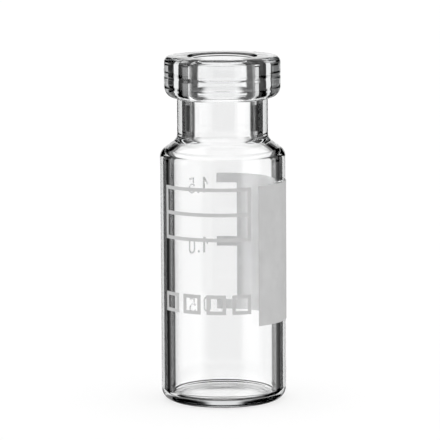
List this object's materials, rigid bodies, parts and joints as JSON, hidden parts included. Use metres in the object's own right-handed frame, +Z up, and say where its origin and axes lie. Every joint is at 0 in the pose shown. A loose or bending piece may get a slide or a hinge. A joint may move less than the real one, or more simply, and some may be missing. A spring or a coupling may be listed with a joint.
{
  "type": "glass sample vial",
  "caption": "Small clear glass sample vial with a crimp-top rim, a narrow neck, a flat base and a printed write-on patch with fill lines.",
  "frame": {"origin": "middle of the base, on the surface the vial stands on", "axes": "+Z up along the vial's axis, -Y towards the front, where the label panel is, +X to the right of the front, towards the write-on patch"},
  "size_m": [0.0116, 0.0116, 0.032],
  "materials": {
    "clear_glass": "clear, fire-polished",
    "white_enamel": "matt, opaque white fired enamel"
  },
  "bodies": {
    "root": {"glass_vial": "clear_glass", "write_on_patch": "white_enamel", "volume_numerals": "white_enamel", "label_panel": "white_enamel", "tick_boxes": "white_enamel"}
  },
  "joints": []
}
